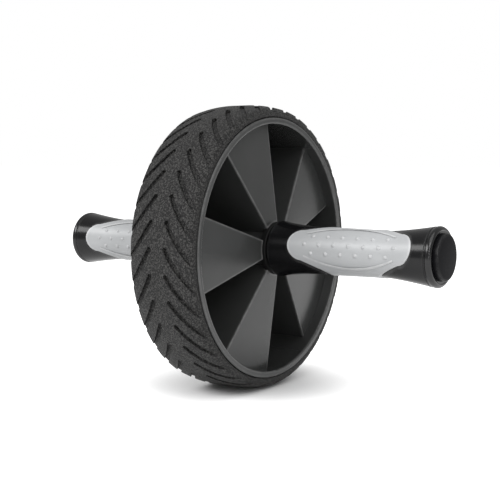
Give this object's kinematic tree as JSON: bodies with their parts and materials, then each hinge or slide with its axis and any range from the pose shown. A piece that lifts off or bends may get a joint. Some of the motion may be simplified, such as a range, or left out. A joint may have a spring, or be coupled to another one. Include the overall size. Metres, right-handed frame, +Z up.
{
  "type": "ab wheel roller",
  "caption": "Exercise wheel with a grooved foam tyre and a castellated web, turning freely on an axle with a waisted two-colour handle on each side.",
  "frame": {"origin": "middle of the wheel on the axle, which is the centre of the object's box", "axes": "+Y along the axle towards the left handle, +Z up, +X the way the wheel rolls"},
  "size_m": [0.2, 0.3104, 0.2],
  "materials": {
    "tyre_foam": "grainy matt foam rubber",
    "core_plastic": "satin moulded plastic",
    "steel": "turned steel",
    "bush_nylon": "matt black nylon",
    "cap_plastic": "satin black plastic",
    "sleeve_plastic": "semi-gloss black plastic",
    "grip_rubber": "satin light grey soft rubber"
  },
  "bodies": {
    "handlebar": {"axle": "steel", "thrust_washer_left": "bush_nylon", "thrust_washer_right": "bush_nylon", "nut_washer_left": "steel", "nut_washer_right": "steel", "lock_nut_left": "steel", "lock_nut_right": "steel", "end_cap_left": "cap_plastic", "end_cap_right": "cap_plastic", "handle_sleeve_left": "sleeve_plastic", "handle_sleeve_right": "sleeve_plastic", "grip_left": "grip_rubber", "grip_right": "grip_rubber"},
    "wheel": {"tyre": "tyre_foam", "wheel_core": "core_plastic", "hub_bush_left": "bush_nylon", "hub_bush_right": "bush_nylon"}
  },
  "joints": [
    {"name": "wheel_spin", "type": "hinge", "parent": "handlebar", "child": "wheel", "pos_m": [0, 0, 0], "axis": [0, 1, 0], "continuous": true}
  ]
}
